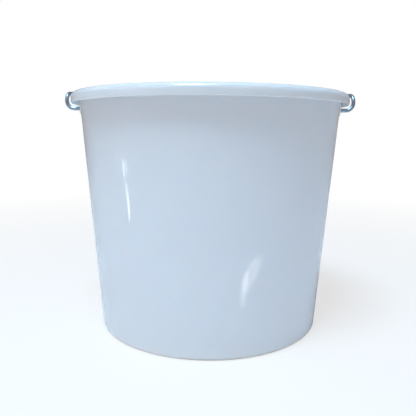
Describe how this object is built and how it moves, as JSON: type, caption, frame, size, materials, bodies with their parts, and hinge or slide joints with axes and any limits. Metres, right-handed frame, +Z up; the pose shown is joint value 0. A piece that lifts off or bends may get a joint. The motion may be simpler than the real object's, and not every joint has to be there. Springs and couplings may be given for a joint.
{
  "type": "fermenting bucket",
  "caption": "Open tapered white plastic fermenting bucket with a turned-down lip and a cranked wire bail that swings over the rim and carries a turning grip.",
  "frame": {"origin": "middle of the base, on the plane of the standing ring", "axes": "+Z up through the mouth, +X along the bail's axis through the ears, +Y to the side where the folded bail lies, -Y the front"},
  "size_m": [0.305, 0.282, 0.2609],
  "materials": {
    "white_plastic": "glossy, slightly translucent, faintly blue-white",
    "galvanised_wire": "galvanised, satin",
    "grip_plastic": "satin white"
  },
  "bodies": {
    "bucket": {"bucket_body": "white_plastic"},
    "bail": {"wire_bail": "galvanised_wire"},
    "grip": {"handle_grip": "grip_plastic"}
  },
  "joints": [
    {"name": "bail_swing", "type": "hinge", "parent": "bucket", "child": "bail", "pos_m": [0, 0, 0.2252], "axis": [1, 0, 0], "range_deg": [0, 158]},
    {"name": "grip_spin", "type": "hinge", "parent": "bail", "child": "grip", "pos_m": [0, 0.13, 0.2501], "axis": [1, 0, 0], "continuous": true}
  ]
}
